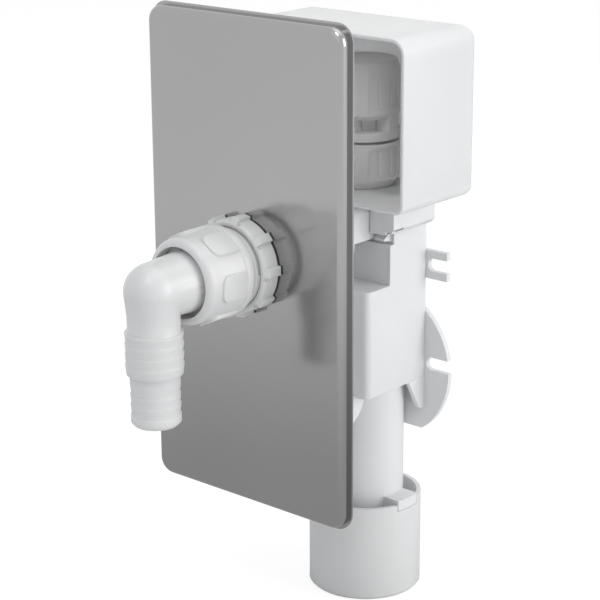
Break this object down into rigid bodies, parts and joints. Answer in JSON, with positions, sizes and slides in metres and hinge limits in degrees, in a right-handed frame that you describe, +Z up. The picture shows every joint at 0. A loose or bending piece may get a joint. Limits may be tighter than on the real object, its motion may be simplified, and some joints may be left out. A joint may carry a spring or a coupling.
{
  "type": "washing machine trap",
  "caption": "Concealed washing machine trap: polished cover plate, swivelling hose elbow on a union nut, moulded body with wall flange, hooded air valve and drain sleeve.",
  "frame": {"origin": "centre of the wall flange disc on its rear face, in the wall plane", "axes": "+Z up, -Y out of the wall towards the cover plate and hose elbow, +X to the right seen from the front"},
  "size_m": [0.1052, 0.1658, 0.2661],
  "materials": {
    "polished_steel": "polished stainless steel sheet",
    "white_plastic": "satin white moulded polypropylene",
    "seal_rubber": "black seal rubber"
  },
  "bodies": {
    "trap": {"cover_plate": "polished_steel", "plate_washer": "seal_rubber", "lock_ring": "white_plastic", "inlet_spigot": "white_plastic", "spigot_seal": "seal_rubber", "elbow_seal": "seal_rubber", "trap_body": "white_plastic", "side_cover": "white_plastic", "body_cap": "white_plastic", "cap_seal": "seal_rubber", "valve_nut": "white_plastic", "valve_seal": "seal_rubber", "valve_base": "white_plastic", "valve_cap": "white_plastic", "hood": "white_plastic", "outlet_sleeve": "white_plastic", "sleeve_seal": "seal_rubber"},
    "nut": {"union_nut": "white_plastic"},
    "elbow": {"hose_elbow": "white_plastic"},
    "membrane": {"valve_membrane": "seal_rubber"}
  },
  "joints": [
    {"name": "nut_turn", "type": "hinge", "parent": "trap", "child": "nut", "pos_m": [0, -0.12, 0.0652], "axis": [0, 1, 0], "continuous": true},
    {"name": "elbow_swivel", "type": "hinge", "parent": "trap", "child": "elbow", "pos_m": [0, -0.1465, 0.0652], "axis": [0, 1, 0], "continuous": true},
    {"name": "membrane_lift", "type": "slide", "parent": "trap", "child": "membrane", "axis": [0, 0, 1], "range_m": [0, 0.003]}
  ]
}
